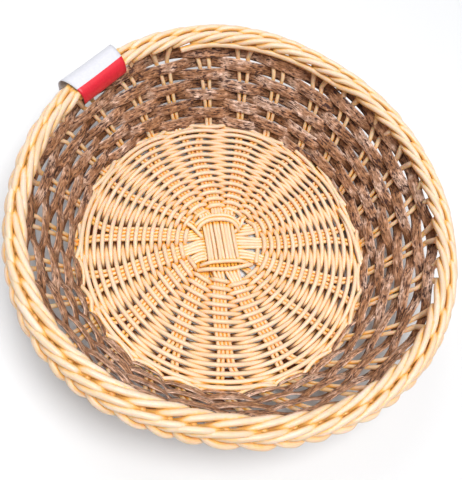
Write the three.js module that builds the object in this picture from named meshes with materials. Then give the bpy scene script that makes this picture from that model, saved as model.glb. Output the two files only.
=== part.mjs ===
// Round woven basket: an open bowl of plastic rattan strands.
// Millimetres, +Z up, origin on the floor under the middle of the base.
import * as THREE from 'three';

// ---- driving dimensions -------------------------------------------------
const PAIRS = 27;                 // stake pairs round the wall
// azimuth of each stake pair half way up the wall, degrees, and its lean round the wall, degrees in 55 mm
const PAIR_AT = [5.6, 18.75, 31.6, 44, 56.3, 70, 82.1, 97.1, 109.1, 122.3, 136, 148.5, 162.8, 176.3, 193, 207.1,
  219.5, 230.9, 242.1, 253.5, 267.9, 280, 296.3, 310.4, 324, 336.9, 351];
const PAIR_LEAN = [8, 6, 5, 6, 6, 7, 6, 4.2, 3.6, 3.4, 2.75, 3.9, 5.4, 5.8, 4.1, 2.4, 2.8, 2.4, 5.9, 5.6, 5.6, 6.5,
  7.5, 6.9, 8, 8.5, 8.5];
const SPOKE_GROUPS = [[0, 1], [2, 3], [4, 5], [6], [7, 8], [9, 10], [11, 12], [13], [14, 15],
  [16, 17], [18, 19], [20, 21], [22, 23], [24, 25], [26]];   // pairs that each base spoke feeds

// azimuth of each base spoke at radius 30 and at radius 90, degrees
const SPOKE_AT = [[2, 9], [29.5, 35.2], [55.5, 59.4], [80.5, 82], [102.3, 104], [125, 131], [149.5, 154.4], [172, 178],
  [195.5, 201.5], [218, 224], [238.5, 246.9], [263.5, 270], [287, 295.6], [311.5, 322], [336.5, 346.2]];

const MIDDLE_SHIFT = [-3.02, -0.495];
const CENTRE_SHIFT = [-2, 4];     // the woven centre sits a little off the middle
const Z_MID = 3.7;                // height of the spokes
const SPOKE_THICK = 2.2;
const SPOKE_HALF4 = 4.25;         // half width of a spoke of four rods
const SPOKE_HALF2 = 2.05;         // half width of a pair of rods
const SPOKE_IN = 25.5;
const SPOKE_FORK = 76;            // a spoke of four rods forks into two pairs here
const SPOKE_OUT = 97.2;

const WEAVER_W = 2.2;             // base weaver strand
const WEAVER_LOW = 1.1;           // strand centre under a spoke
const WEAVER_HIGH = 6.3;          // strand centre over a spoke
const WEAVER_PITCH = 2.95;
const WEAVER_R0 = 31;
const WEAVER_R1 = 94.6;
const EDGE_R0 = 99.1;             // edge strand, woven round the stake pairs
const EDGE_TURNS = 2;
const EDGE_PITCH = 1.95;
const EDGE_W = 1.6;
const FOOT_R = 104.8;             // a stake turns up the wall here

const WALL_Z0 = 4, WALL_Z1 = 61;  // stake line, bottom and top
const WALL_R0 = 105.5, WALL_R1 = 136.5;
const ROD = 1.1;                  // half thickness of a stake rod
const TAIL = 0.85;                // half thickness of a border strand
const PAIR_GAP0 = 1.4;            // half spacing of a pair at the base edge
const PAIR_GAP1 = 3.5;            // half spacing of a pair under the border

const STRIP_W = 5.8;              // flat wall strip
const STRIP_T = 1.2;
const STRIP_OFF = 2.2;            // strip to stake line, either side
const STRIP_S0 = 5.2, STRIP_S1 = 59.8;   // lowest and highest place of the strip's middle, up the slope of the wall
// rise of the strip with its turns, and its drift round the wall
const STRIP_RISE = [-0.505, 7.091, 0.116], STRIP_DRIFT = [-2.924, 3.147];
const STRIP_C0 = 5.6, STRIP_C1 = 221.4;   // stake count at the strip's two ends

const RIM_R = 140.5, RIM_Z = 68.5; // middle of the braided border

// path of one border strand: pitches along the rim, outward, upward
const BORDER = [
  [0.0, -2.95, -0.48], [0.04, 0.4, 1.5], [0.2, 5.58, -2.09], [0.55, 8.9, -4.3], [1.1, 9.3, -6.7], [1.4, 7.25, -7.1],
  [1.6, 5.9, -4.6], [1.78, 6.2, -1.6], [2.1, 6.5, 1.23], [3.0, 3.41, 3.95], [3.6, 1.4, 2.4],
  [3.97, 0.3, -1.45], [4.2, -0.46, -0.35], [4.6, -1.75, 3.4], [5.5, -4.6, 3.9], [6.5, -7.69, 1.36],
];

// the hand-made rim is slightly out of round and out of level
const ROUND2C = 0.5, ROUND2S = -0.9, ROUND3C = 3.35, ROUND3S = -0.5, LEVEL2C = -1.6, LEVEL2S = 2.6;

const CREAM = 0xf6dfae, TAN = 0xe2bd7d, BROWN = 0x7d604e, LABEL = 0xf2f1f4;

// ---- helpers ------------------------------------------------------------
const rad = (d) => (d * Math.PI) / 180;
const V = (x, y, z) => new THREE.Vector3(x, y, z);

// a point of the wall or rim, given round: radius, azimuth (radians), height
function rimPoint(r, a, z) {
  const t = Math.min(Math.max(z / RIM_Z, 0), 1.3);
  const rr = r + t * (ROUND2C * Math.cos(2 * a) + ROUND2S * Math.sin(2 * a)
    + ROUND3C * Math.cos(3 * a) + ROUND3S * Math.sin(3 * a));
  const zz = z + t * (LEVEL2C * Math.cos(2 * a) + LEVEL2S * Math.sin(2 * a));
  return V(rr * Math.cos(a), rr * Math.sin(a), zz);
}

// a point of the base in plan
function basePoint(r, a, z) {
  const k = Math.max(0, 1 - r / SPOKE_OUT);
  return V(r * Math.cos(a) + CENTRE_SHIFT[0] * k, r * Math.sin(a) + CENTRE_SHIFT[1] * k, z);
}

function wallR(z) {
  const t = (z - WALL_Z0) / (WALL_Z1 - WALL_Z0);
  return WALL_R0 + (WALL_R1 - WALL_R0) * t;
}

const WALL_SLOPE = Math.atan2(WALL_R1 - WALL_R0, WALL_Z1 - WALL_Z0);

// a strand along given points, with the section's two directions given at each point
class StrandPath extends THREE.Curve {
  constructor(points, normals, binormals) {
    super();
    this.points = points;
    this.normals = normals;
    this.binormals = binormals;
  }

  getPoint(t) {
    const n = this.points.length - 1;
    const i = Math.min(Math.floor(t * n), n - 1);
    return this.points[i].clone().lerp(this.points[i + 1], t * n - i);
  }

  getSpacedPoints() { return this.points; }

  computeFrenetFrames() {
    const tangents = this.points.map((p, i) => this.points[Math.min(i + 1, this.points.length - 1)].clone()
      .sub(this.points[Math.max(i - 1, 0)]).normalize());
    return { tangents, normals: this.normals, binormals: this.binormals };
  }
}

function sweep(outline, points, normals, binormals) {
  const shape = new THREE.Shape(outline.map(([x, y]) => new THREE.Vector2(x, y)));
  return new THREE.ExtrudeGeometry(shape, {
    steps: points.length - 1, extrudePath: new StrandPath(points, normals, binormals),
  });
}

const basket = new THREE.Group();
function piece(name, geometry, color, roughness) {
  const mesh = new THREE.Mesh(geometry, new THREE.MeshStandardMaterial({ color, roughness, metalness: 0 }));
  mesh.name = name;
  basket.add(mesh);
  return mesh;
}
const two = (n) => String(n).padStart(2, '0');

// azimuth of stake pair i (any whole number, a turn is PAIRS) at height z
function pairAzimuth(i, z) {
  const k = ((i % PAIRS) + PAIRS) % PAIRS;
  const s = (z - WALL_Z0) / Math.cos(WALL_SLOPE);
  return rad(PAIR_AT[k] + (PAIR_LEAN[k] * (s - 35)) / 55 + 360 * Math.floor(i / PAIRS));
}

// azimuth of a place in the border, counted in strands
const TOP_Z = 63.7;
function borderAzimuth(k) {
  const slot = (n) => {
    const i = Math.floor(n / 2);
    const quarter = (pairAzimuth(i + 1, TOP_Z) - pairAzimuth(i - 1, TOP_Z)) / 8;
    return pairAzimuth(i, TOP_Z) + (n % 2 === 0 ? -quarter : quarter);
  };
  const n = Math.floor(k);
  return slot(n) + (slot(n + 1) - slot(n)) * (k - n);
}

// ---- base spokes: flat bundles of rods, forked near the edge ---------------
const spokes = SPOKE_GROUPS.map((pairs, j) => ({
  pairs,
  half: pairs.length === 1 ? SPOKE_HALF2 : SPOKE_HALF4,
  at: (r) => rad(SPOKE_AT[j][0] + ((SPOKE_AT[j][1] - SPOKE_AT[j][0]) * (r - 30)) / 60),
  foot: pairs.map((i) => pairAzimuth(i, Z_MID)),
}));

// azimuths of a spoke's two sides at a radius
function spokeSides(s, r) {
  const t = Math.max(0, (r - SPOKE_FORK) / (SPOKE_OUT - SPOKE_FORK));
  const q = Math.min(r, SPOKE_FORK);
  const lo = s.at(q) - s.half / q;
  const hi = s.at(q) + s.half / q;
  const end = SPOKE_HALF2 / SPOKE_OUT;
  return [lo + (s.foot[0] - end - lo) * t, hi + (s.foot[s.foot.length - 1] + end - hi) * t];
}

spokes.forEach((s, j) => {
  const at = (r, side) => {
    const a = spokeSides(s, r)[side];
    return basePoint(r, a, 0);
  };
  const inner = [SPOKE_IN, 40, 58, SPOKE_FORK];
  const end = SPOKE_HALF2 / SPOKE_OUT;
  const outline = [...inner.map((r) => at(r, 0)), at(SPOKE_OUT, 0)];
  if (s.pairs.length === 2) {
    outline.push(basePoint(SPOKE_OUT, s.foot[0] + end, 0), basePoint(SPOKE_FORK, s.at(SPOKE_FORK), 0),
      basePoint(SPOKE_OUT, s.foot[1] - end, 0));
  }
  outline.push(at(SPOKE_OUT, 1), ...inner.reverse().map((r) => at(r, 1)));
  const shape = new THREE.Shape(outline.map((p) => new THREE.Vector2(p.x, p.y)));
  const geo = new THREE.ExtrudeGeometry(shape, { depth: SPOKE_THICK, bevelEnabled: false, steps: 1 });
  const mesh = piece(`base_spoke_${two(j + 1)}`, geo, CREAM, 0.42);
  mesh.position.z = Z_MID - SPOKE_THICK / 2;
});

// ---- centre: three flat bundles of nine rods laid over each other ----------
const BUNDLE_HALF = 10.35;
const BUNDLE_MID = [-4.6, 1.6];
const UPPER_AT = 120;
[['lower', 75, 22, 0], ['middle', 30, 15.5, 2.6], ['upper', UPPER_AT, 22, 5.1]].forEach(([name, deg, half, z]) => {
  const geo = new THREE.BoxGeometry(2 * half, 2 * BUNDLE_HALF, 2.2);
  const mesh = piece(`centre_bundle_${name}`, geo, CREAM, 0.42);
  mesh.rotation.z = rad(deg);
  mesh.position.set(BUNDLE_MID[0], BUNDLE_MID[1], z + 1.1);
});

// strand wraps across the upper bundle
const TIE = [[-12.6, 6.1], [-11.9, 8.0], [-10.5, 8.7], [10.5, 8.7], [11.9, 8.0], [12.6, 6.1]];
[['far', 15.5], ['near', -15.5]].forEach(([name, along]) => {
  const a = rad(UPPER_AT);
  const u = V(Math.cos(a), Math.sin(a), 0);
  const v = V(-Math.sin(a), Math.cos(a), 0);
  const pts = TIE.map(([s, z]) => V(BUNDLE_MID[0], BUNDLE_MID[1], z).addScaledVector(u, along).addScaledVector(v, s));
  const nor = [];
  const bin = [];
  pts.forEach((p, i) => {
    const t = pts[Math.min(i + 1, pts.length - 1)].clone().sub(pts[Math.max(i - 1, 0)]).normalize();
    nor.push(u.clone());
    bin.push(new THREE.Vector3().crossVectors(t, u));
  });
  piece(`centre_tie_${name}`, sweep([[-2.4, -0.8], [2.4, -0.8], [2.4, 0.8], [-2.4, 0.8]], pts, nor, bin), CREAM, 0.42);
});

// ---- base weaver: one strand in a flat spiral over and under the spokes ----
const BACK_TRI = [[-WEAVER_W / 2, -1.1], [WEAVER_W / 2, -1.1], [0, 1.1]];
{
  const pts = [];
  const nor = [];
  const bin = [];
  const total = Math.floor(((WEAVER_R1 - WEAVER_R0) / WEAVER_PITCH) * spokes.length);
  const r0 = (a) => WEAVER_R0 + (WEAVER_PITCH * a) / (2 * Math.PI);
  for (let c = 0; c < total; c += 1) {
    const j = c % spokes.length;
    const turn = Math.floor(c / spokes.length);
    const r = r0(spokes[j].at(60) + 2 * Math.PI * turn);
    const z = c % 2 === 0 ? WEAVER_HIGH : WEAVER_LOW;
    const sides = spokeSides(spokes[j], r);
    [0, 1].forEach((side) => {
      const a = 2 * Math.PI * turn + sides[side] + (side === 0 ? -0.55 : 0.55) / r;
      pts.push(basePoint(r0(a), a, z));
      nor.push(V(-Math.cos(a), -Math.sin(a), 0));
      bin.push(V(0, 0, 1));
    });
  }
  piece('base_weaver', sweep(BACK_TRI, pts, nor, bin), CREAM, 0.42);
}

// edge strand: woven round the feet of the stake pairs
{
  const pts = [];
  const nor = [];
  const bin = [];
  const r0 = (a) => EDGE_R0 + (EDGE_PITCH * a) / (2 * Math.PI);
  for (let c = 0; c < PAIRS * EDGE_TURNS; c += 1) {
    const mid = pairAzimuth(c, Z_MID);
    const z = c % 2 === 0 ? WEAVER_HIGH : WEAVER_LOW;
    [-1, 1].forEach((side) => {
      const a = mid + (side * (PAIR_GAP0 + ROD + 0.6)) / r0(mid);
      const r = r0(a);
      pts.push(V(r * Math.cos(a), r * Math.sin(a), z));
      nor.push(V(-Math.cos(a), -Math.sin(a), 0));
      bin.push(V(0, 0, 1));
    });
  }
  piece('base_edge_strand', sweep([[-EDGE_W / 2, -1.1], [EDGE_W / 2, -1.1], [0, 1.1]], pts, nor, bin), CREAM, 0.42);
}

// ---- stake pairs: two rods up the wall, each bent over into the border -----
const SQUARE = [[-1, -1], [1, -1], [1, 1], [-1, 1]];
for (let i = 0; i < PAIRS; i += 1) {
  const mid = pairAzimuth(i, Z_MID);
  const arm = (side) => {
    const out = [];
    const foot = (r, z) => {
      const a = mid + (side * PAIR_GAP0) / r;
      return rimPoint(r, a, z);
    };
    out.push([foot(98.9, Z_MID), ROD], [foot(FOOT_R, Z_MID), ROD]);
    [6.8, 24, 42, 60].forEach((z) => {
      const gap = PAIR_GAP0 + ((PAIR_GAP1 - PAIR_GAP0) * (z - WALL_Z0)) / (WALL_Z1 - WALL_Z0);
      const r = wallR(z);
      out.push([rimPoint(r, pairAzimuth(i, z) + (side * gap) / r, z), ROD]);
    });
    const slot = 2 * i + (side < 0 ? 0 : 1);
    const rise = borderAzimuth(slot) * 0.72 + pairAzimuth(i, TOP_Z) * 0.28;
    out.push([rimPoint(RIM_R - 4.1, rise, RIM_Z - 4.4), TAIL]);
    BORDER.forEach(([phi, u, w]) => {
      out.push([rimPoint(RIM_R + u, borderAzimuth(slot + phi), RIM_Z + w), TAIL]);
    });
    return out;
  };
  const a = arm(-1).reverse();
  const nodes = [...a, ...arm(1)];
  const k = a.length - 1;                       // last point before the turn at the foot
  const pts = nodes.map((n) => n[0]);
  const tan = pts.map((p, n) => pts[Math.min(n + 1, pts.length - 1)].clone().sub(pts[Math.max(n - 1, 0)]).normalize());
  const nor = pts.map(() => null);
  const carry = (from, to) => {
    const q = new THREE.Quaternion().setFromUnitVectors(tan[from], tan[to]);
    nor[to] = nor[from].clone().applyQuaternion(q);
  };
  nor[k] = V(0, 0, 1);
  nor[k].addScaledVector(tan[k], -nor[k].dot(tan[k])).normalize();
  for (let n = k + 1; n < pts.length; n += 1) carry(n - 1, n);
  for (let n = k - 1; n >= 0; n -= 1) carry(n + 1, n);
  const bin = pts.map((p, n) => new THREE.Vector3().crossVectors(tan[n], nor[n]).multiplyScalar(nodes[n][1]));
  nor.forEach((v, n) => v.multiplyScalar(nodes[n][1]));
  piece(`stake_pair_${two(i + 1)}`, sweep(SQUARE, pts, nor, bin), TAN, 0.42);
}

// ---- wall weaver: one flat strip, in and out of the pairs, eight turns ------
{
  const pts = [];
  const nor = [];
  const bin = [];
  // azimuth at a count of pairs, at height z, and the strip's height there
  const around = (c, z) => {
    const n = Math.floor(c);
    return pairAzimuth(n, z) + (pairAzimuth(n + 1, z) - pairAzimuth(n, z)) * (c - n);
  };
  const slope = (c) => {
    const n = c / PAIRS;
    const a = around(c, 34);
    return STRIP_RISE[0] + STRIP_RISE[1] * n + STRIP_RISE[2] * n * n
      + STRIP_DRIFT[0] * Math.cos(a) + STRIP_DRIFT[1] * Math.sin(a);
  };
  const all = [];
  for (let c = STRIP_C0; c <= STRIP_C1; c += 0.1) all.push(slope(c));
  const low = Math.min(...all);
  const high = Math.max(...all);
  const height = (c) => WALL_Z0 + Math.cos(WALL_SLOPE)
    * (STRIP_S0 + ((STRIP_S1 - STRIP_S0) * (slope(c) - low)) / (high - low));
  const put = (c, da, off) => {
    const s = WALL_SLOPE;
    const z = height(c);
    const a = around(c, z) + da;
    const r = wallR(z) + off * Math.cos(s);
    pts.push(rimPoint(r, a, z - off * Math.sin(s)));
    const n = V(Math.cos(s) * Math.cos(a), Math.cos(s) * Math.sin(a), -Math.sin(s));
    const t = V(-Math.sin(a), Math.cos(a), 0);
    nor.push(n);
    bin.push(new THREE.Vector3().crossVectors(t, n));
  };
  put(STRIP_C0, 0, STRIP_OFF * 0.2);
  for (let c = Math.ceil(STRIP_C0); c <= Math.floor(STRIP_C1); c += 1) {
    const z = height(c);
    const gap = PAIR_GAP0 + ((PAIR_GAP1 - PAIR_GAP0) * (z - WALL_Z0)) / (WALL_Z1 - WALL_Z0);
    const half = (gap + ROD + 1.9) / wallR(z);
    const off = c % 2 === 0 ? -STRIP_OFF : STRIP_OFF;
    put(c, -half, off);
    put(c, half, off);
  }
  put(STRIP_C1, 0, -STRIP_OFF * 0.2);
  const w = STRIP_W / 2;
  const t = STRIP_T / 2;
  piece('wall_weaver', sweep([[-t, -w], [t, -w], [t, w], [-t, w]], pts, nor, bin), BROWN, 0.5);
}

// ---- label: a bare sheet folded over the border -----------------------------
{
  const fold = [[12.6, -9], [12.6, -2], [10.2, 4], [5, 7.2], [-4, 7.4], [-9.6, 5.6], [-11.8, 0], [-12.2, -14]];
  const thick = 0.5;
  const back = fold.map(([x, y], n) => {
    const p = fold[Math.max(n - 1, 0)];
    const q = fold[Math.min(n + 1, fold.length - 1)];
    const dx = q[0] - p[0];
    const dy = q[1] - p[1];
    const l = Math.hypot(dx, dy);
    return [x + (dy / l) * thick, y - (dx / l) * thick];
  });
  const outline = [...fold, ...back.reverse()];
  const pts = [];
  const nor = [];
  const bin = [];
  for (let n = 0; n <= 6; n += 1) {
    const a = rad(150.5 + 3 * n);
    pts.push(rimPoint(RIM_R, a, RIM_Z));
    nor.push(V(Math.cos(a), Math.sin(a), 0));
    bin.push(V(0, 0, 1));
  }
  // the section runs outward and up, so the path goes against the azimuth
  pts.reverse();
  nor.reverse();
  bin.reverse();
  piece('label', sweep(outline, pts, nor, bin), LABEL, 0.6);
}

// the middle of the outline stands over the origin
basket.position.set(MIDDLE_SHIFT[0], MIDDLE_SHIFT[1], 0);

export default basket;
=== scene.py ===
import math

import bpy
import numpy as np
from mathutils import Matrix, Vector


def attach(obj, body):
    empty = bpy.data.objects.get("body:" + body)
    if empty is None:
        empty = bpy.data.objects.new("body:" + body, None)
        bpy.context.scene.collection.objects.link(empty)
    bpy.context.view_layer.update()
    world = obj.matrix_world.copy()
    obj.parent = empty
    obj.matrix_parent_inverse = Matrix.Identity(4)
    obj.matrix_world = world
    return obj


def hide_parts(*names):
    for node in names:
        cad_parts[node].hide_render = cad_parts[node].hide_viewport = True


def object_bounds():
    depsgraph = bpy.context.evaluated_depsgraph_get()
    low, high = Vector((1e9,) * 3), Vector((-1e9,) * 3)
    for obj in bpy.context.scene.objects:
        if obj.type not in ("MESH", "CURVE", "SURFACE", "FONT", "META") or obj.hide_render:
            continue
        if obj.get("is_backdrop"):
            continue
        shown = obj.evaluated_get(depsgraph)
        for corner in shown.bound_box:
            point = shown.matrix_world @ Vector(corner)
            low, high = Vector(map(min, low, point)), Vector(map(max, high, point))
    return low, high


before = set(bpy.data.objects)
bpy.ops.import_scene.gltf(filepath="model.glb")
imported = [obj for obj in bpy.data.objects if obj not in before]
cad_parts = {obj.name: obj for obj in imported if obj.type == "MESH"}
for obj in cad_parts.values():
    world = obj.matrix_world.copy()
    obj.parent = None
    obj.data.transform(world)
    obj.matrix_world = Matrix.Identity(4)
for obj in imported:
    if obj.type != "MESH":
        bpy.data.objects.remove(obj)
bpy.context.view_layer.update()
rng = np.random.default_rng(11)

# ------------------------------------------------------------------ dimensions, mm
SHIFT = np.array([-3.02, -0.495, 0.0])
CENTRE = np.array([-2.0, 4.0])
PAIRS = 27
PAIR_AT = np.array([5.6, 18.75, 31.6, 44, 56.3, 70, 82.1, 97.1, 109.1, 122.3, 136, 148.5, 162.8, 176.3, 193, 207.1,
                    219.5, 230.9, 242.1, 253.5, 267.9, 280, 296.3, 310.4, 324, 336.9, 351])
PAIR_LEAN = np.array([8, 6, 5, 6, 6, 7, 6, 4.2, 3.6, 3.4, 2.75, 3.9, 5.4, 5.8, 4.1, 2.4, 2.8, 2.4, 5.9, 5.6, 5.6,
                      6.5, 7.5, 6.9, 8, 8.5, 8.5])
SPOKE_AT = [[2, 9], [29.5, 35.2], [55.5, 59.4], [80.5, 82], [102.3, 104], [125, 131], [149.5, 154.4], [172, 178],
            [195.5, 201.5], [218, 224], [238.5, 246.9], [263.5, 270], [287, 295.6], [311.5, 322], [336.5, 346.2]]
GROUPS = [[0, 1], [2, 3], [4, 5], [6], [7, 8], [9, 10], [11, 12], [13], [14, 15], [16, 17], [18, 19], [20, 21],
          [22, 23], [24, 25], [26]]
R_OUT, R_FORK, R_EDGE = 97.2, 77.0, 105.0
Z_MID = 4.2
ROD_R = 1.46          # base rods
STAKE_R = 1.48        # wall stakes
BORDER_R = 2.2        # border strands
WEAVE_R = 1.66        # base weaver
PITCH, WEAVE_R0, WEAVE_TURNS = 2.9, 30.5, (-1, 26.1)
WALL_R0, WALL_Z0 = 105.5, 4.0
SLOPE = math.atan2(31.0, 57.0)
CS, SN = math.cos(SLOPE), math.sin(SLOPE)
RIM_R, RIM_Z = 140.5, 68.5
BUNDLE_MID = np.array([-4.2, 2.0])
BUNDLE_AT = 120.0

BORDER = np.array([
    [-0.04, -5.86, -13.05], [-0.03, -4.88, -8.9], [-0.02, -4.03, -4.46], [0.02, -2.95, -1.6], [0.1, -1.1, -0.3],
    [0.22, 1.2, -0.4], [0.34, 3.2, -1.5], [0.45, 5.0, -2.6], [0.56, 6.4, -3.5], [0.75, 7.7, -4.3],
    [1.0, 8.4, -5.3], [1.22, 8.4, -6.5], [1.45, 7.2, -7.7], [1.6, 5.8, -7.8], [1.72, 4.9, -6.8],
    [1.83, 4.7, -5.0], [1.97, 5.1, -2.6], [2.12, 5.6, -0.6], [2.33, 5.7, 1.1], [2.73, 4.5, 2.5],
    [3.23, 3.0, 3.7], [3.72, 1.5, 2.7], [4.0, 0.75, -0.8], [4.22, 0.25, -3.5], [4.45, -0.4, -2.0],
    [4.73, -1.35, 2.0], [5.23, -2.9, 4.0], [5.73, -4.4, 3.8], [6.23, -5.7, 2.9], [6.58, -6.1, 1.2],
    [6.83, -5.5, -0.4], [7.1, -4.5, -1.9]])
LOOSE = np.array([[7.2, -6.5, -1.9], [7.7, -6.9, -2.5], [8.5, -6.9, -2.7], [9.5, -6.9, -2.6], [10.5, -6.9, -2.8], [11.5, -6.9, -2.6],
                  [12.5, -6.9, -2.6], [13.4, -7.0, -2.3], [14.2, -7.2, -1.9], [15.0, -7.8, -2.2], [15.6, -8.4, -2.9]])
LOOSE_STRAND = 4


# ------------------------------------------------------------------ curves
def spline(x, y, q):
    """Natural cubic spline."""
    x, y, q = (np.asarray(v, float) for v in (x, y, q))
    n = len(x)
    h = np.diff(x)
    a = np.eye(n)
    b = np.zeros(n)
    for i in range(1, n - 1):
        a[i, i - 1:i + 2] = h[i - 1], 2 * (h[i - 1] + h[i]), h[i]
        b[i] = 6 * ((y[i + 1] - y[i]) / h[i] - (y[i] - y[i - 1]) / h[i - 1])
    m = np.linalg.solve(a, b)
    k = np.clip(np.searchsorted(x, q, side="right") - 1, 0, n - 2)
    t = q - x[k]
    s = h[k]
    return (y[k] + t * ((y[k + 1] - y[k]) / s - s * (2 * m[k] + m[k + 1]) / 6) + t * t * m[k] / 2
            + t ** 3 * (m[k + 1] - m[k]) / (6 * s))


def pchip(x, y, q):
    """Cubic curve through the points without overshoot."""
    x, y, q = (np.asarray(v, float) for v in (x, y, q))
    h = np.diff(x)
    d = np.diff(y) / h
    m = np.zeros(len(x))
    same = d[1:] * d[:-1] > 0
    w1, w2 = 2 * h[1:] + h[:-1], h[1:] + 2 * h[:-1]
    with np.errstate(divide="ignore", invalid="ignore"):
        m[1:-1] = np.where(same, (w1 + w2) / (w1 / np.where(same, d[:-1], 1) + w2 / np.where(same, d[1:], 1)), 0)
    m[0], m[-1] = d[0], d[-1]
    k = np.clip(np.searchsorted(x, q, side="right") - 1, 0, len(x) - 2)
    t = (q - x[k]) / h[k]
    return ((1 + 2 * t) * (1 - t) ** 2 * y[k] + t * (1 - t) ** 2 * h[k] * m[k]
            + t * t * (3 - 2 * t) * y[k + 1] + t * t * (t - 1) * h[k] * m[k + 1])


def evenly(p, step):
    """Points at an even spacing along a path."""
    p = np.asarray(p, float)
    d = np.concatenate([[0], np.cumsum(np.linalg.norm(np.diff(p, axis=0), axis=1))])
    n = max(2, int(round(d[-1] / step)) + 1)
    q = np.linspace(0, d[-1], n)
    return np.stack([np.interp(q, d, p[:, k]) for k in range(3)], 1)


def smooth_path(p, step):
    """A smooth curve through a few points, evenly sampled."""
    p = np.asarray(p, float)
    d = np.concatenate([[0], np.cumsum(np.linalg.norm(np.diff(p, axis=0), axis=1))])
    q = np.linspace(0, d[-1], max(8, int(d[-1] / step * 3)))
    return evenly(np.stack([spline(d, p[:, k], q) for k in range(3)], 1), step)


# ------------------------------------------------------------------ places
def rim_xyz(r, a, z):
    """A place of the wall or rim: the hand-made rim is slightly out of round and out of level."""
    r, a, z = np.broadcast_arrays(*(np.asarray(v, float) for v in (r, a, z)))
    t = np.clip(z / RIM_Z, 0, 1.3)
    rr = r + t * (0.5 * np.cos(2 * a) - 0.9 * np.sin(2 * a) + 3.35 * np.cos(3 * a) - 0.5 * np.sin(3 * a))
    zz = z + t * (-1.6 * np.cos(2 * a) + 2.6 * np.sin(2 * a))
    return np.stack([rr * np.cos(a), rr * np.sin(a), zz], -1)


def base_xyz(r, a, z):
    r, a, z = np.broadcast_arrays(*(np.asarray(v, float) for v in (r, a, z)))
    k = np.maximum(0, 1 - r / R_OUT)
    return np.stack([r * np.cos(a) + CENTRE[0] * k, r * np.sin(a) + CENTRE[1] * k, z], -1)


def pair_az(i, s):
    i = np.asarray(i)
    k = i % PAIRS
    return np.radians(PAIR_AT[k] + PAIR_LEAN[k] * (np.asarray(s, float) - 35) / 55 + 360.0 * (i // PAIRS))


def around(c, s):
    """Azimuth at a count of pairs."""
    c = np.asarray(c, float)
    n = np.floor(c).astype(int)
    a = pair_az(n, s)
    return a + (pair_az(n + 1, s) - a) * (c - n)


TOP_S = 68.0


def slot_az(k):
    """Azimuth of a place in the border, counted in strands."""
    k = np.asarray(k, float)

    def slot(n):
        i = n // 2
        quarter = (pair_az(i + 1, TOP_S) - pair_az(i - 1, TOP_S)) / 8
        return pair_az(i, TOP_S) + np.where(n % 2 == 0, -quarter, quarter)
    n = np.floor(k).astype(int)
    a = slot(n)
    return a + (slot(n + 1) - a) * (k - n)


def spoke_az(j, r):
    a, b = SPOKE_AT[j]
    return np.radians(a + (b - a) * (np.asarray(r, float) - 30) / 60)


def half_gap(s):
    """Half the distance between the two rods of a pair, up the wall."""
    return 1.46 + 0.00083 * np.asarray(s, float) ** 2


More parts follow.
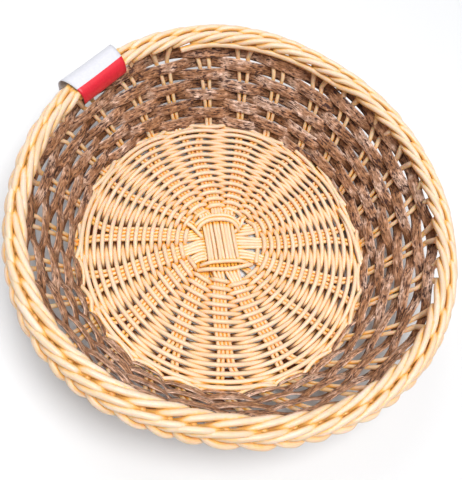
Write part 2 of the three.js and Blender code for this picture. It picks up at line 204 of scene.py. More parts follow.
# ------------------------------------------------------------------ meshes
class Strands:
    """Collects swept strands into one mesh, with a place on the strand kept at each vertex."""

    def __init__(self):
        self.v, self.f, self.uvw, self.rnd, self.nor, self.n = [], [], [], [], [], 0

    def sweep(self, p, nor, outline, scale=None, shade=None, flat=None):
        """outline: section points (across = nor, up = tangent x nor). scale: one number per point."""
        p = np.asarray(p, float)
        outline = np.asarray(outline, float)
        m, k = len(p), len(outline)
        t = np.gradient(p, axis=0)
        t /= np.linalg.norm(t, axis=1)[:, None]
        nor = nor - t * np.sum(nor * t, 1)[:, None]
        nor /= np.linalg.norm(nor, axis=1)[:, None]
        bi = np.cross(t, nor)
        sc = np.ones(m) if scale is None else np.asarray(scale, float)
        ring = (p[:, None] + sc[:, None, None] * (outline[None, :, :1] * nor[:, None] + outline[None, :, 1:] * bi[:, None]))
        along = np.concatenate([[0], np.cumsum(np.linalg.norm(np.diff(p, axis=0), axis=1))])
        uvw = np.concatenate([np.repeat(along[:, None, None], k, 1), np.repeat(outline[None], m, 0)], 2)
        idx = self.n + np.arange(m * k).reshape(m, k)
        nxt = np.roll(idx, -1, axis=1)
        quads = np.stack([idx[:-1], nxt[:-1], nxt[1:], idx[1:]], -1).reshape(-1, 4)
        self.f += quads.tolist()
        self.f.append(idx[0][::-1].tolist())
        self.f.append(idx[-1].tolist())
        self.v.append(ring.reshape(-1, 3))
        out = outline / np.linalg.norm(outline, axis=1)[:, None] if flat is None else np.asarray(flat, float)
        self.nor.append((out[None, :, :1] * nor[:, None] + out[None, :, 1:] * bi[:, None]).reshape(-1, 3))
        self.uvw.append(uvw.reshape(-1, 3))
        self.rnd.append(np.full(m * k, rng.random() if shade is None else shade))
        self.n += m * k

    def tube(self, p, r, sides=8, ref=(0, 0, 1), taper=True, shade=None, transport=False):
        p = np.asarray(p, float)
        ends = 0.22 * np.max(r)
        t0, t1 = p[1] - p[0], p[-1] - p[-2]
        t0, t1 = t0 / np.linalg.norm(t0), t1 / np.linalg.norm(t1)
        r = np.broadcast_to(np.asarray(r, float), (len(p),))
        if taper:      # a small round on the cut ends
            p = np.concatenate([[p[0] - t0 * ends], p, [p[-1] + t1 * ends]])
            r = np.concatenate([[r[0] * 0.8], r, [r[-1] * 0.8]])
        t = np.gradient(p, axis=0)
        t /= np.linalg.norm(t, axis=1)[:, None]
        nor = np.empty_like(p)
        if transport:
            n = np.asarray(ref, float)
            for i in range(len(p)):
                n = n - t[i] * np.dot(n, t[i])
                n = n / np.linalg.norm(n)
                nor[i] = n
        else:
            nor[:] = ref
        a = 2 * math.pi * (np.arange(sides) + 0.5) / sides
        self.sweep(p, nor, np.stack([np.cos(a), np.sin(a)], 1), r, shade)

    def build(self, name, node, slot, material):
        ALL.append((self, name, node, slot, material))

    def make(self, name, node, slot, material, deep, under):
        me = bpy.data.meshes.new(name)
        v = (np.concatenate(self.v) + SHIFT) * 0.001
        me.from_pydata(v.tolist(), [], self.f)
        me.polygons.foreach_set("use_smooth", np.ones(len(me.polygons), bool))
        at = me.attributes.new("strand", "FLOAT_VECTOR", "POINT")
        at.data.foreach_set("vector", np.concatenate(self.uvw).astype(np.float32).ravel())
        at = me.attributes.new("tone", "FLOAT", "POINT")
        at.data.foreach_set("value", np.concatenate(self.rnd).astype(np.float32))
        at = me.attributes.new("deep", "FLOAT", "POINT")
        at.data.foreach_set("value", deep.astype(np.float32))
        at = me.attributes.new("under", "FLOAT", "POINT")
        at.data.foreach_set("value", under.astype(np.float32))
        me.materials.append(material)
        me.update()
        ob = bpy.data.objects.new(name, me)
        bpy.context.scene.collection.objects.link(ob)
        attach(ob, "root")
        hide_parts(node)
        return ob


ALL = []


def blur(g, n, times=3):
    """Box blur along each axis, a few times."""
    for _ in range(times):
        for axis in range(3):
            c = np.cumsum(np.pad(g, [(n + 1, n) if k == axis else (0, 0) for k in range(3)]), axis=axis, dtype=np.float64)
            hi = [slice(None)] * 3
            lo = [slice(None)] * 3
            hi[axis], lo[axis] = slice(2 * n + 1, None), slice(0, -(2 * n + 1))
            g = ((c[tuple(hi)] - c[tuple(lo)]) / (2 * n + 1)).astype(np.float32)
    return g


def crevices(sets, cell=0.8, reach=2.3):
    """How closed in each vertex is: the amount of surface near the point a little in front of it."""
    pts = np.concatenate([np.concatenate(x.v) for x in sets])
    lo = pts.min(0) - 8
    size = np.ceil((pts.max(0) + 8 - lo) / cell).astype(int)
    k = ((pts - lo) / cell).astype(int)
    g = np.bincount(np.ravel_multi_index(k.T, size), minlength=int(np.prod(size))).reshape(size).astype(np.float32)
    g = blur(g, 1, 3)
    out = []
    for x in sets:
        q = np.concatenate(x.v) + reach * np.concatenate(x.nor)
        k = np.clip(((q - lo) / cell).astype(int), 0, size - 1)
        out.append(g[k[:, 0], k[:, 1], k[:, 2]])
    return out


# ------------------------------------------------------------------ materials
def material(name):
    m = bpy.data.materials.new(name)
    m.use_nodes = True
    nt = m.node_tree
    return m, nt, nt.nodes["Principled BSDF"]


def node(nt, kind, **values):
    n = nt.nodes.new(kind)
    for k, v in values.items():
        if k in n.inputs:
            n.inputs[k].default_value = v
        else:
            setattr(n, k, v)
    return n


def ramp(nt, source, stops):
    r = nt.nodes.new("ShaderNodeValToRGB")
    while len(r.color_ramp.elements) < len(stops):
        r.color_ramp.elements.new(0.5)
    for e, (pos, col) in zip(r.color_ramp.elements, stops):
        e.position = pos
        e.color = (*col, 1)
    nt.links.new(source, r.inputs["Fac"])
    return r.outputs["Color"]


def mix(nt, a, b, fac, kind="MIX"):
    n = nt.nodes.new("ShaderNodeMix")
    n.data_type = "RGBA"
    n.blend_type = kind
    for s, v in ((n.inputs[6], a), (n.inputs[7], b), (n.inputs[0], fac)):
        if hasattr(v, "is_output"):
            nt.links.new(v, s)
        else:
            s.default_value = (*v, 1) if isinstance(v, tuple) else v
    return n.outputs[2]


def strand_coords(nt, scale):
    """Place along and across the strand, shifted from strand to strand, then scaled."""
    at = node(nt, "ShaderNodeAttribute", attribute_name="strand")
    tone = node(nt, "ShaderNodeAttribute", attribute_name="tone")
    far = node(nt, "ShaderNodeVectorMath", operation="SCALE")
    far.inputs[0].default_value = (973.0, 311.0, 157.0)
    nt.links.new(tone.outputs["Fac"], far.inputs["Scale"])
    add = node(nt, "ShaderNodeVectorMath", operation="ADD")
    nt.links.new(at.outputs["Vector"], add.inputs[0])
    nt.links.new(far.outputs["Vector"], add.inputs[1])
    mul = node(nt, "ShaderNodeVectorMath", operation="MULTIPLY")
    mul.inputs[1].default_value = scale
    nt.links.new(add.outputs["Vector"], mul.inputs[0])
    return mul.outputs["Vector"], tone.outputs["Fac"]


def noise(nt, vec, scale=1.0, detail=2.0, rough=0.5):
    n = node(nt, "ShaderNodeTexNoise", Scale=scale, Detail=detail, Roughness=rough)
    nt.links.new(vec, n.inputs["Vector"])
    return n.outputs["Fac"]


def deepness(nt, low, high, name="deep"):
    """0 in the open, 1 deep between strands."""
    at = node(nt, "ShaderNodeAttribute", attribute_name=name)
    m = node(nt, "ShaderNodeMapRange", interpolation_type="SMOOTHSTEP")
    m.inputs["From Min"].default_value = low
    m.inputs["From Max"].default_value = high
    nt.links.new(at.outputs["Fac"], m.inputs["Value"])
    return m.outputs["Result"]


def cream(name, low, high, painted_crevice_shade, rim=None):
    m, nt, b = material(name)
    slow, tone = strand_coords(nt, (0.05, 0.12, 0.12))
    col = ramp(nt, noise(nt, slow, 1.0, 3.0), [(0.3, low), (0.7, high)])
    shade = ramp(nt, tone, [(0.0, (0.93, 0.9, 0.85)), (1.0, (1.0, 1.0, 1.0))])
    col = mix(nt, col, shade, 1.0, "MULTIPLY")
    streak, _ = strand_coords(nt, (0.03, 1.6, 1.6))
    fine = noise(nt, streak, 1.0, 4.0, 0.6)
    col = mix(nt, col, ramp(nt, fine, [(0.3, (0.95, 0.91, 0.84)), (0.62, (1.0, 1.0, 1.0))]), 0.8, "MULTIPLY")
    dark = deepness(nt, 0.0, 1.0, "under")
    if rim:                                   # on the stakes it marks the border, which is drawn a paler cream, with its own colour of painted shade in the crevices
        col = mix(nt, col, mix(nt, col, rim[0], 1.0, "MULTIPLY"), dark)
        painted_crevice_shade = ramp(nt, dark, [(0.0, painted_crevice_shade), (1.0, rim[1])])
    # painted shade: orange where the strands are closed in, dark red-brown deeper in the crevices
    col = mix(nt, col, painted_crevice_shade, deepness(nt, 0.05, 0.27))
    col = mix(nt, col, (0.3, 0.07, 0.02), deepness(nt, 0.26, 0.56))
    # painted shade: the weaver goes near black where it dips under the spokes (the under mask)
    if not rim:
        col = mix(nt, col, (0.07, 0.017, 0.005), dark)
    nt.links.new(col, b.inputs["Base Color"])
    rough = ramp(nt, fine, [(0.3, (0.5, 0.5, 0.5)), (0.7, (0.36, 0.36, 0.36))])
    nt.links.new(rough, b.inputs["Roughness"])
    bump = node(nt, "ShaderNodeBump", Strength=0.12, Distance=0.0003)
    nt.links.new(fine, bump.inputs["Height"])
    nt.links.new(bump.outputs["Normal"], b.inputs["Normal"])
    b.inputs["Specular IOR Level"].default_value = 0.45
    if not rim:
        gloss = ramp(nt, dark, [(0.0, (0.45, 0.45, 0.45)), (1.0, (0.04, 0.04, 0.04))])
        nt.links.new(gloss, b.inputs["Specular IOR Level"])
    b.inputs["Subsurface Weight"].default_value = 0.3
    b.inputs["Subsurface Radius"].default_value = (1.0, 0.4, 0.12)
    b.inputs["Subsurface Scale"].default_value = 0.002
    return m


CREAM = cream("cream_strand", (0.765, 0.57, 0.385), (0.825, 0.655, 0.51), (0.88, 0.42, 0.05))
CREAM_STAKE = cream("cream_strand_stake", (0.765, 0.57, 0.385), (0.825, 0.655, 0.51), (0.87, 0.43, 0.08),
                    rim=((0.94, 0.985, 1.1), (0.77, 0.43, 0.125)))


def brown():
    m, nt, b = material("brown_strip")
    big, tone = strand_coords(nt, (0.05, 0.1, 0.1))
    col = ramp(nt, noise(nt, big, 1.0, 3.0, 0.55), [(0.36, (0.335, 0.163, 0.08)), (0.5, (0.42, 0.226, 0.134)),
                                                    (0.64, (0.585, 0.4, 0.305))])
    grain, _ = strand_coords(nt, (0.1, 0.8, 0.8))
    g = noise(nt, grain, 1.0, 5.0, 0.62)
    col = mix(nt, col, ramp(nt, g, [(0.37, (0.58, 0.5, 0.45)), (0.5, (0.97, 0.96, 0.95)), (0.63, (1.42, 1.42, 1.43))]),
              1.0, "MULTIPLY")
    patch, _ = strand_coords(nt, (0.26, 0.42, 0.42))
    col = mix(nt, col, ramp(nt, noise(nt, patch, 1.0, 3.0, 0.6), [(0.38, (0.68, 0.62, 0.58)), (0.5, (1, 1, 1)), (0.62, (1.46, 1.6, 1.78))]),
              1.0, "MULTIPLY")
    fleck, _ = strand_coords(nt, (0.24, 0.72, 0.72))
    f = noise(nt, fleck, 1.0, 2.5, 0.6)
    crowd, _ = strand_coords(nt, (0.09, 0.16, 0.16))
    near = node(nt, "ShaderNodeMath", operation="MULTIPLY_ADD")      # the flecks come in crowds
    nt.links.new(noise(nt, crowd, 1.0, 2.0, 0.5), near.inputs[0])
    near.inputs[1].default_value = 0.4
    nt.links.new(f, near.inputs[2])
    col = mix(nt, col, (0.05, 0.02, 0.02), ramp(nt, near.outputs[0], [(0.738, (0, 0, 0)), (0.8, (0.94, 0.94, 0.94))]))
    # painted shade: the strip darker where it passes behind the stakes and on the left (the under mask), and dark in
    # its crevices
    col = mix(nt, col, mix(nt, col, (0.68, 0.59, 0.49), 1.0, "MULTIPLY"), deepness(nt, 0.0, 0.9, "under"))
    col = mix(nt, col, (0.11, 0.05, 0.03), deepness(nt, 0.1, 0.4))
    at = node(nt, "ShaderNodeAttribute", attribute_name="strand")
    sep = node(nt, "ShaderNodeSeparateXYZ")
    nt.links.new(at.outputs["Vector"], sep.inputs[0])
    side = node(nt, "ShaderNodeMath", operation="ABSOLUTE")
    nt.links.new(sep.outputs["Z"], side.inputs[0])
    edge_highlight = node(nt, "ShaderNodeMapRange", interpolation_type="SMOOTHSTEP")
    for key, value in (("From Min", 3.7), ("From Max", 4.45), ("To Max", 0.22)):
        edge_highlight.inputs[key].default_value = value
    nt.links.new(side.outputs[0], edge_highlight.inputs["Value"])
    col = mix(nt, col, (0.6, 0.46, 0.385), edge_highlight.outputs["Result"])      # painted highlight along both edges of the strip
    nt.links.new(col, b.inputs["Base Color"])
    nt.links.new(ramp(nt, g, [(0.3, (0.62, 0.62, 0.62)), (0.7, (0.42, 0.42, 0.42))]), b.inputs["Roughness"])
    bump = node(nt, "ShaderNodeBump", Strength=0.35, Distance=0.0004)
    nt.links.new(g, bump.inputs["Height"])
    nt.links.new(bump.outputs["Normal"], b.inputs["Normal"])
    b.inputs["Specular IOR Level"].default_value = 0.4
    return m


BROWN = brown()


def label_card():
    m, nt, b = material("label_card")
    at = node(nt, "ShaderNodeAttribute", attribute_name="strand")
    sep = node(nt, "ShaderNodeSeparateXYZ")
    nt.links.new(at.outputs["Vector"], sep.inputs[0])
    n = node(nt, "ShaderNodeTexNoise", Scale=0.6, Detail=4.0)
    nt.links.new(at.outputs["Vector"], n.inputs["Vector"])
    white = ramp(nt, n.outputs["Fac"], [(0.3, (0.56, 0.565, 0.625)), (0.7, (0.61, 0.615, 0.665))])
    red = ramp(nt, n.outputs["Fac"], [(0.3, (0.60, 0.012, 0.03)), (0.7, (0.68, 0.02, 0.04))])
    edge = node(nt, "ShaderNodeMath", operation="GREATER_THAN")
    edge.inputs[1].default_value = 0.5
    nt.links.new(sep.outputs["Z"], edge.inputs[0])
    nt.links.new(mix(nt, white, red, edge.outputs[0]), b.inputs["Base Color"])
    nt.links.new(ramp(nt, n.outputs["Fac"], [(0.3, (0.5, 0.5, 0.5)), (0.7, (0.36, 0.36, 0.36))]), b.inputs["Roughness"])
    bump = node(nt, "ShaderNodeBump", Strength=0.1, Distance=0.0003)
    nt.links.new(n.outputs["Fac"], bump.inputs["Height"])
    nt.links.new(bump.outputs["Normal"], b.inputs["Normal"])
    return m


LABEL = label_card()


# ------------------------------------------------------------------ base spokes
def fork(r):
    t = np.clip((np.asarray(r, float) - R_FORK) / (R_EDGE - R_FORK), 0, 1)
    return 0.12 * t + 0.88 * t ** 3


def spoke_sides(j, r):
    """Azimuths of the two sides of a spoke."""
    half = 5.6 if len(GROUPS[j]) == 2 else 2.85
    r = np.asarray(r, float)
    q = np.minimum(r, R_FORK)
    squeeze = np.clip(0.62 + 0.38 * (q - 22) / 26, 0.62, 1)
    mid = spoke_az(j, q)
    lo, hi = mid - half * squeeze / q, mid + half * squeeze / q
    foot = [pair_az(i, 0) for i in GROUPS[j]]
    end = 2.85 / R_EDGE
    return lo + (foot[0] - end - lo) * fork(r), hi + (foot[-1] + end - hi) * fork(r)


def rod_az(j, k, r):
    """Azimuth of rod k of spoke j; the last two of four go to the second pair."""
    r = np.asarray(r, float)
    n = 2 * len(GROUPS[j])
    q = np.minimum(r, R_FORK)
    squeeze = np.clip(0.62 + 0.38 * (q - 22) / 26, 0.62, 1)
    a = spoke_az(j, q) + (k - (n - 1) / 2) * 2.8 * squeeze / q
    side = -1 if k % 2 == 0 else 1
    end = pair_az(GROUPS[j][k // 2], 0) + side * half_gap(0) / R_EDGE
    return a + (end - a) * fork(r)


def bed(r):
    """Height of the middle of the base; it turns up at the edge."""
    return Z_MID + np.interp(r, [0, 90, 95, 98, 100, 102, 104.2], [0, 0, 0.1, 0.25, 0.45, 0.8, 1.5])


# places where the rods leave the centre: direction, height, distance, rods; the rods of the lower layers come out from under
ENDS = [(30, 4.25, 11.6, 10), (78, 1.48, 19.0, 4), (123, 7.05, 20.6, 11), (172, 2.0, 12.0, 2), (210, 4.25, 11.6, 11),
        (258, 1.48, 19.0, 6), (303, 7.05, 20.6, 7), (342, 2.0, 13.0, 3)]
ROD_STEP = 2.76
mid3 = np.array([*BUNDLE_MID, 0.0])


def direction(deg):
    a = math.radians(deg)
    return np.array([math.cos(a), math.sin(a), 0]), np.array([-math.sin(a), math.cos(a), 0])


order = sorted(((float(rod_az(j, k, 30.0)) + math.radians(30)) % (2 * math.pi), j, k) for j, g in enumerate(GROUPS)
               for k in range(2 * len(g)))
order = order[3:] + order[:3]
start = {}
for e, (*_, size) in enumerate(ENDS):
    step = ROD_STEP * min(1.06, 8.6 / (size - 1))
    for i in range(size):
        start[order.pop(0)[1:]] = (e, (i - (size - 1) / 2) * step)

for j, g in enumerate(GROUPS):
    st = Strands()
    n = 2 * len(g)
    for k in range(n):
        e, y = start[(j, k)]
        deg, z0, d0, _ = ENDS[e]
        u, v = direction(deg)
        odd = rng.uniform(-1, 1, 2)
        first = [mid3 + u * (d0 + t) + v * (y + 0.2 * odd[0]) + np.array([0, 0, max(z0 + 0.2 * odd[1], 1.5)]) for t in (0, 1.4)]
        r = np.concatenate([[31.0, 32.5], np.linspace(34, 98.6, 38)])
        z = bed(r) + 0.14 * np.sin(r * 0.31 + 3 * rng.random()) * (r < 90) + np.where(r < 33, (z0 - 4.2) * 0.12, 0)
        p = smooth_path(np.concatenate([first, base_xyz(r, rod_az(j, k, r), z)]), 1.6)
        st.tube(p, np.interp(np.arange(len(p)), [0, 6], [1.5, ROD_R]), 10)
    st.build(f"spoke_rods_{j + 1:02d}", f"base_spoke_{j + 1:02d}", "cream_strand", CREAM)


# ------------------------------------------------------------------ centre
def bundle(name, nodename, deg, z0, half, pinch=0.0, r=1.5):
    u, v = direction(deg)
    st = Strands()
    for i in range(9):
        s = np.linspace(-half, half, 17)
        t = (s + half) / (2 * half)
        odd = rng.uniform(-1, 1, 4)
        y = (i - 4) * ROD_STEP * (1 - pinch * np.sin(math.pi * t)) + 0.25 * (odd[0] * t + odd[1] * (1 - t)) + 0.5 * odd[2] * np.sin(math.pi * t)
        z = np.maximum(z0 + 0.3 * odd[3] * np.sin(math.pi * t), 1.5)
        st.tube(mid3 + s[:, None] * u + y[:, None] * v + z[:, None] * np.array([0, 0, 1.0]), r, 10)
    st.build(name, nodename, "cream_strand", CREAM)


bundle("centre_rods_lower", "centre_bundle_lower", 75, 1.48, 20.0)
bundle("centre_rods_middle", "centre_bundle_middle", 30, 4.25, 12.4)
bundle("centre_rods_upper", "centre_bundle_upper", 123, 7.05, 21.0, 0.04, 1.35)      # drawn in between the ties


def tie(name, nodename, sets):
    st = Strands()
    for pts in sets:
        st.tube(smooth_path(pts, 0.7), 1.56, 10, transport=True)
    return st.build(name, nodename, "cream_strand", CREAM)


def across(pts):
    """Points given along the upper bundle, across it to the right, and up."""
    u, v = direction(120)
    return [mid3 + a * u - b * v + np.array([0, 0, z]) for a, b, z in pts]


tie("centre_tie_strands_far", "centre_tie_far", [
    across([[7.5, -17.3, 3.0], [10.0, -16.6, 5.6], [13.6, -13.8, 8.2], [16.4, -8.6, 9.6], [17.4, -2.0, 9.8], [17.3, 4.0, 9.7],
            [15.8, 9.6, 9.2], [12.2, 13.6, 7.4], [9.6, 14.8, 5.0]]),
    across([[10.6, -18.6, 3.4], [14.0, -17.2, 6.0], [17.6, -12.6, 8.6], [20.0, -6.5, 9.3], [20.7, 0.0, 9.3], [20.3, 6.0, 9.2],
            [17.9, 11.6, 8.8], [14.4, 15.3, 7.0], [11.9, 16.6, 4.6]]),
    across([[8.0, 11.5, 5.6], [10.5, 13.8, 5.4], [13.5, 16.8, 5.9], [18.0, 19.0, 7.2]]),
    across([[15.5, -23.5, 7.2], [13.0, -20.0, 7.0], [9.0, -16.5, 6.4], [5.0, -13.2, 5.7]])])
tie("centre_tie_strands_near", "centre_tie_near", [
    across([[-17.6, -16.5, 4.8], [-17.2, -14.0, 7.4], [-16.6, -9.5, 9.6], [-16.3, -2.0, 9.8], [-16.3, 5.0, 9.8], [-16.6, 11.5, 9.5],
            [-17.2, 16.0, 7.8], [-17.6, 19.0, 5.4]]),
    across([[-21.0, -19.0, 5.2], [-21.2, -15.5, 7.4], [-21.6, -9.0, 9.1], [-22.0, -1.0, 9.2], [-21.6, 7.0, 9.2], [-20.3, 13.5, 8.8],
            [-19.2, 18.6, 7.8], [-18.4, 21.5, 5.6]])])

# ------------------------------------------------------------------ base weaver
def weave_r(q):
    r = WEAVE_R0 + PITCH * q / (2 * math.pi)
    return np.where(r > 98, 98 + 0.72 * (r - 98), r)


st = Strands()
angle, height = [], []
for c in range(15 * WEAVE_TURNS[0], int(15 * WEAVE_TURNS[1])):
    j, turn = c % 15, c // 15
    r = float(weave_r(2 * math.pi * turn + float(spoke_az(j, 60))))
    lo, hi = (float(v) + 2 * math.pi * turn for v in spoke_sides(j, r))
    s = -1 if c % 2 == 0 else 1
    m = 0.35 / r
    z = float(bed(r))
    angle += [lo - m, (lo + hi) / 2, hi + m]
    height += [z + s * 2.35, z + (2.92 if s > 0 else -2.52), z + s * 2.35]
q = np.linspace(0, 1, 6500) ** 0.62 * (angle[-1] - angle[0]) + angle[0]
rr = weave_r(q)
wob = 1.25 * np.cos(q - math.radians(200)) * np.clip((rr - 28) / 20, 0, 1) * np.clip((103 - rr) / 8, 0, 1)
for f in range(1, 9):
    wob += rng.uniform(-1, 1) * np.sin(q * rng.uniform(0.7, 4.0) + rng.uniform(0, 6.28)) * 0.06
p = base_xyz(rr + wob, q, pchip(angle, height, q))
st.tube(evenly(p, 1.15), WEAVE_R, 8)
st.build("base_weaver_strand", "base_weaver", "cream_strand", CREAM)

# edge strand, in and out of the feet of the stake pairs, and its loose end
st = Strands()
cc = np.arange(5.0, 58.6, 0.02)
t = (cc - 5) / 54
s = -0.3 + 3.2 * t
wave = np.cos(math.pi * cc)
off = np.where(wave > 0, -3.5 * wave, -2.6 * wave)
r = WALL_R0 + SN * s + off * CS
z = WALL_Z0 + 0.4 + CS * s - off * SN
p = rim_xyz(r, around(cc, 0), z)
end = [(58.9, 1.0, -3.0), (59.3, 2.2, -3.6), (59.7, 3.2, -3.6), (60.1, 4.1, -3.5)]
tail = [rim_xyz(WALL_R0 + SN * y + o * CS, around(x, 0), WALL_Z0 + CS * y - o * SN) for x, y, o in end]
p = np.concatenate([p, smooth_path(np.concatenate([p[-2:-1], tail]), 0.8)[1:]])
p = evenly(p, 0.4)
for _ in range(16):
    p[1:-1] = 0.25 * p[:-2] + 0.5 * p[1:-1] + 0.25 * p[2:]
st.tube(evenly(p, 1.1), WEAVE_R, 8)
for loose in ([(68, 106.4, 9.6), (62, 105.3, 8.8), (56, 103.8, 8.2), (49.5, 103.0, 7.9), (43, 103.2, 7.4), (40, 104.4, 6.2)],
              [(46, 98.4, 8.9), (40, 99.8, 9.4), (33.4, 100.9, 9.4), (27, 102.6, 8.8), (21.8, 104.4, 7.8), (19, 105.8, 6.6)]):
    deg, r, z = np.array(loose, float).T
    st.tube(smooth_path(base_xyz(r, np.radians(deg), z), 1.1), WEAVE_R, 8)
st.build("base_edge_strands", "base_edge_strand", "cream_strand", CREAM)

# ------------------------------------------------------------------ stakes and border
idx = np.arange(len(BORDER))
fine = np.linspace(0, len(BORDER) - 1, 4 * len(BORDER))
b_phi = pchip(idx, BORDER[:, 0], fine)
b_u = spline(idx, BORDER[:, 1], fine)
b_w = spline(idx, BORDER[:, 2], fine)
b_mix = np.interp(fine, [0, 1, 2, 3], [0.55, 0.66, 0.83, 1.0])

for i in range(PAIRS):
    st = Strands()
    for side in (-1, 1):
        k = 2 * i + (0 if side < 0 else 1)
        j = next(n for n, g in enumerate(GROUPS) if i in g)
        foot_r = np.array([97.0, 99.0, 101.0, 103.0, 104.6])
        path = [base_xyz(foot_r, rod_az(j, 2 * GROUPS[j].index(i) + (side > 0), foot_r), bed(foot_r))]
        s = np.arange(3.5, 55, 4.0)
        r = WALL_R0 + SN * s
        path.append(rim_xyz(r, pair_az(i, s) + side * half_gap(s) / r, WALL_Z0 + CS * s))
        ph = b_phi + 0.05 * np.sin(np.linspace(0, 9, len(fine)) + rng.uniform(0, 6.28)) * np.clip((fine - 8) / 6, 0, 1)
        az = slot_az(k + ph)
        centre = float(pair_az(i, TOP_S))
        start = float(slot_az(k))
        az = az + (b_mix - 1) * (start - centre)
        amp = np.clip((fine - 6) / 8, 0, 1)
        du = 0.22 * amp * np.sin(fine * 0.45 + rng.uniform(0, 6.28))
        dw = 0.22 * amp * np.sin(fine * 0.5 + rng.uniform(0, 6.28))
        cut = len(fine) - int(rng.integers(0, 4))
        deg = np.degrees(az) % 360
        tuck = (3.2 * np.exp(-((deg - 211) / 24) ** 2) - 1.7 * np.exp(-((deg - 57) / 17) ** 2)
                + 1.4 * np.exp(-((deg - 281) / 14) ** 2) + 1.2 * np.exp(-((deg - 16) / 12) ** 2)
                + 1.2 * np.exp(-((deg - 92) / 13) ** 2) + 0.3) * np.clip((b_u - 1.5) / 4, 0, 1)
        tuck = tuck - ((2.1 * np.exp(-((deg - 48) / 22) ** 2) + 1.8 * np.exp(-((deg - 180) / 11) ** 2)
                        - 1.6 * np.exp(-((deg - 281) / 16) ** 2))
                       * np.clip((-b_u - 1) / 3.5, 0, 1) * np.clip((fine - 20) / 4, 0, 1))
        path.append(rim_xyz(RIM_R + b_u + du - tuck, az, RIM_Z + b_w + dw)[:cut])
        if k == LOOSE_STRAND:
            path[-1] = path[-1][:-9]
            path.append(rim_xyz(RIM_R + LOOSE[:, 1], slot_az(k + LOOSE[:, 0]), RIM_Z + LOOSE[:, 2]))
        p = smooth_path(np.concatenate(path), 1.5)
        d = np.concatenate([[0], np.cumsum(np.linalg.norm(np.diff(p, axis=0), axis=1))])
        rad = np.interp(d, [0, 60, 78], [ROD_R, STAKE_R, BORDER_R])
        st.tube(p, rad, 9, ref=(0, 0, 1), transport=True)
    st.build(f"stake_rods_{i + 1:02d}", f"stake_pair_{i + 1:02d}", "cream_strand", CREAM_STAKE)

# ------------------------------------------------------------------ wall strip
STRIP_W, STRIP_T = 9.0, 1.2


def strip_s(c):
    n = c / PAIRS
    a = around(c, 34)
    s = -0.505 + 7.091 * n + 0.116 * n * n - 2.924 * np.cos(a) + 3.147 * np.sin(a)
    return s + 0.8 * np.exp(-np.maximum(s, 0) / 6)


c = np.linspace(2.6, 221.45, 3000)
s = strip_s(c)
wave = np.cos(math.pi * c)
off = -2.2 * np.tanh(1.5 * wave) / math.tanh(1.5)
az = around(c, s)
r = WALL_R0 + SN * s + off * CS
z = WALL_Z0 + CS * s - off * SN
p = rim_xyz(r, az, z)
tilt = 0.10 * np.sin(2 * math.pi * c * 0.37 + 1.3) + 0.05 * np.sin(2 * math.pi * c * 0.83)
ang = SLOPE + tilt
nor = np.stack([np.cos(ang) * np.cos(az), np.cos(ang) * np.sin(az), -np.sin(ang)], 1)
h, t = STRIP_W / 2, STRIP_T / 2
outline = [[-t * 0.25, -h], [t * 0.5, -h * 0.97], [t, -h * 0.86], [t * 1.15, -h * 0.4], [t * 1.2, 0], [t * 1.15, h * 0.4],
           [t, h * 0.86], [t * 0.5, h * 0.97], [-t * 0.25, h], [-t * 0.75, h * 0.92], [-t * 0.85, h * 0.45], [-t * 0.8, 0],
           [-t * 0.85, -h * 0.45], [-t * 0.75, -h * 0.92]]
st = Strands()
deg = np.degrees(az) % 360      # the strip is a little narrower on the near right and on the left
narrow = 1 - 0.15 * np.exp(-(((deg - 325 + 180) % 360 - 180) / 50) ** 2) - 0.05 * np.exp(-((deg - 215) / 40) ** 2)
st.sweep(p, nor, outline, narrow, flat=[[0, -1], [0.6, -0.8], [1, 0], [1, 0], [1, 0], [1, 0], [1, 0], [0.6, 0.8], [0, 1], [-0.7, 0.7], [-1, 0], [-1, 0], [-1, 0], [-0.7, -0.7]])
st.build("wall_strip", "wall_weaver", "brown_strip", BROWN)
strip_off = np.repeat(off, len(outline))

# ------------------------------------------------------------------ label
fold = np.array([[10.8, -8.5], [11.4, -3.5], [10.9, 1.2], [8.2, 5.1], [4.0, 7.1], [-0.5, 7.5], [-4.5, 7.0], [-7.7, 5.3],
                 [-9.6, 2.3], [-10.4, -0.6], [-10.6, -3.0]])
d = np.concatenate([[0], np.cumsum(np.linalg.norm(np.diff(fold, axis=0), axis=1))])
q = np.linspace(0, d[-1], 40)
fu, fw = spline(d, fold[:, 0], q), spline(d, fold[:, 1], q)
flat = d[-1]
A = np.radians(np.linspace(151.0, 168.7, 19))
verts, uvw, faces = [], [], []
m = len(q)
tu, tw = np.gradient(fu), np.gradient(fw)
tl = np.hypot(tu, tw)
for a_i, a in enumerate(A):
    for face in (0, 1):
        uu, ww = fu + (tw / tl) * (0.4 * face), fw - (tu / tl) * (0.4 * face)
        stiff = math.cos(A[-1] - A[9]) / math.cos(a - A[9])      # the card stays straight along the rim
        verts.append(rim_xyz((RIM_R + uu) * stiff + 1.2, a, RIM_Z + ww))
        uvw.append(np.stack([np.full(m, a_i * 2.4), q, (q > flat - 13.4).astype(float)], 1))
cols = 2 * m
for a_i in range(len(A) - 1):
    b0, b1 = a_i * cols, (a_i + 1) * cols
    for e in range(m - 1):
        faces.append([b0 + e, b0 + e + 1, b1 + e + 1, b1 + e])
        faces.append([b0 + m + e, b1 + m + e, b1 + m + e + 1, b0 + m + e + 1])
    faces.append([b0, b1, b1 + m, b0 + m])
    faces.append([b0 + m - 1, b0 + 2 * m - 1, b1 + 2 * m - 1, b1 + m - 1])
for a_i in (0, len(A) - 1):
    b0 = a_i * cols
    for e in range(m - 1):
        fc = [b0 + e, b0 + m + e, b0 + m + e + 1, b0 + e + 1]
        faces.append(fc if a_i == 0 else fc[::-1])
st = Strands()
st.v, st.f, st.uvw = [np.concatenate(verts)], faces, [np.concatenate(uvw)]
st.rnd = [np.full(len(st.v[0]), 0.5)]
st.nor = [np.zeros_like(st.v[0])]
st.build("label_sheet", "label", "label_card", LABEL)
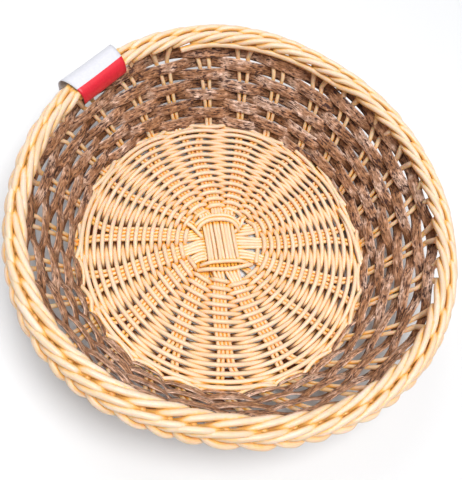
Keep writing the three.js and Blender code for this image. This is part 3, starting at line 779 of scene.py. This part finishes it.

# the crevice measure deep drives painted shade in the materials
for (x, *rest), deep in zip(ALL, crevices([x[0] for x in ALL])):
    v, n = np.concatenate(x.v), np.concatenate(x.nor)
    under = np.zeros(len(v))
    if rest[0].startswith("stake_rods"):      # the stakes stand in the shade of the strip
        deep = deep + 0.09 * np.clip((v[:, 2] - 8) / 4, 0, 1) * np.clip((66 - v[:, 2]) / 4, 0, 1)
        # painted shade on the border: a little orange all over, more in its crevices and on faces turned downward
        rim = np.clip((v[:, 2] - 63) / 3, 0, 1)
        deep = (1 - rim) * deep + rim * np.minimum(0.08 + 2.2 * deep + 0.16 * np.clip((0.35 - n[:, 2]) / 0.8, 0, 1), 0.32)
        under = rim
    if rest[0] == "base_weaver_strand":       # seen from above, it lies in the dark where it dips under the spokes
        dip = bed(np.hypot(v[:, 0], v[:, 1])) - (v[:, 2] - WEAVE_R * n[:, 2])
        under = np.clip((dip + 1.1 * (1 - n[:, 2]) - 1.5) / 1.0, 0, 1) * np.clip((n[:, 2] + 0.1) / 0.3, 0, 1)
    if rest[0] == "wall_strip":               # painted shade: the strip is darker where it passes behind the stakes
        under = np.clip(-np.sign(x.uvw[0][:, 1]) * strip_off / 2.2, 0, 1)
        turn = np.degrees(np.arctan2(v[:, 1], v[:, 0])) % 360      # and painted shade, darker on the left
        under = np.minimum(under + 0.4 * np.exp(-((turn - 222) / 42) ** 2), 1)
    x.make(*rest, deep, under)

# ------------------------------------------------------------------ floor, light, camera
floor_me = bpy.data.meshes.new("floor")
floor_me.from_pydata([(-4, -4, -0.0002), (4, -4, -0.0002), (4, 4, -0.0002), (-4, 4, -0.0002)], [], [[0, 1, 2, 3]])
floor = bpy.data.objects.new("floor", floor_me)
bpy.context.scene.collection.objects.link(floor)
fm, fnt, fb = material("floor_pale")
fb.inputs["Base Color"].default_value = (0.7, 0.71, 0.73, 1)
fb.inputs["Roughness"].default_value = 0.85
fb.inputs["Specular IOR Level"].default_value = 0.1
floor_me.materials.append(fm)
floor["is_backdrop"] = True

world = bpy.data.worlds.new("studio")
world.use_nodes = True
wnt = world.node_tree
place = wnt.nodes.new("ShaderNodeTexCoord")
sep = wnt.nodes.new("ShaderNodeSeparateXYZ")
wnt.links.new(place.outputs["Generated"], sep.inputs[0])
walls = ramp(wnt, sep.outputs["Z"], [(0.06, (0.62, 0.63, 0.65)), (0.3, (0.1, 0.103, 0.108))])     # pale low walls, dim ceiling
wnt.links.new(walls, wnt.nodes["Background"].inputs["Color"])
wnt.nodes["Background"].inputs["Strength"].default_value = 1.0
bpy.context.scene.world = world


def area(name, azimuth, elevation, distance, size, power, colour=(1, 1, 1)):
    a, e = math.radians(azimuth), math.radians(elevation)
    d = Vector((math.cos(a) * math.cos(e), math.sin(a) * math.cos(e), math.sin(e)))
    li = bpy.data.lights.new(name, "AREA")
    li.shape = "DISK"
    li.size = size
    li.energy = power
    li.color = colour
    ob = bpy.data.objects.new(name, li)
    ob.location = d * distance
    ob.rotation_euler = d.to_track_quat("Z", "Y").to_euler()
    bpy.context.scene.collection.objects.link(ob)


area("key", 312, 79, 1.6, 1.0, 33.5, (1.0, 0.985, 0.96))
area("fill", 140, 48, 1.8, 1.2, 11.0, (0.97, 0.985, 1.0))

e = math.radians(61.37)
C = np.array([0, 0, 68.5]) + 400.0 * np.array([0, -math.cos(e), math.sin(e)])
T = np.array([1.73, -22.48, 68.5])
back = (C - T) / np.linalg.norm(C - T)
right = np.cross([0, 0, 1.0], back)
right /= np.linalg.norm(right)
up = np.cross(back, right)
roll = math.radians(25.88)
r2 = math.cos(roll) * right + math.sin(roll) * up
u2 = -math.sin(roll) * right + math.cos(roll) * up
cam_data = bpy.data.cameras.new("camera")
cam = bpy.data.objects.new("camera", cam_data)
loc = (C + SHIFT) * 0.001
cam.matrix_world = Matrix(((r2[0], u2[0], back[0], loc[0]), (r2[1], u2[1], back[1], loc[1]), (r2[2], u2[2], back[2], loc[2]),
                           (0, 0, 0, 1)))
cam_data.sensor_width = 36.0
cam_data.lens = 616.62 * 36.0 / 480.0
cam_data.clip_start, cam_data.clip_end = 0.01, 20.0
bpy.context.scene.collection.objects.link(cam)
bpy.context.scene.camera = cam

view = bpy.context.scene.view_settings
view.view_transform = "Standard"
view.look = "None"
view.exposure = 0.0

lo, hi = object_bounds()
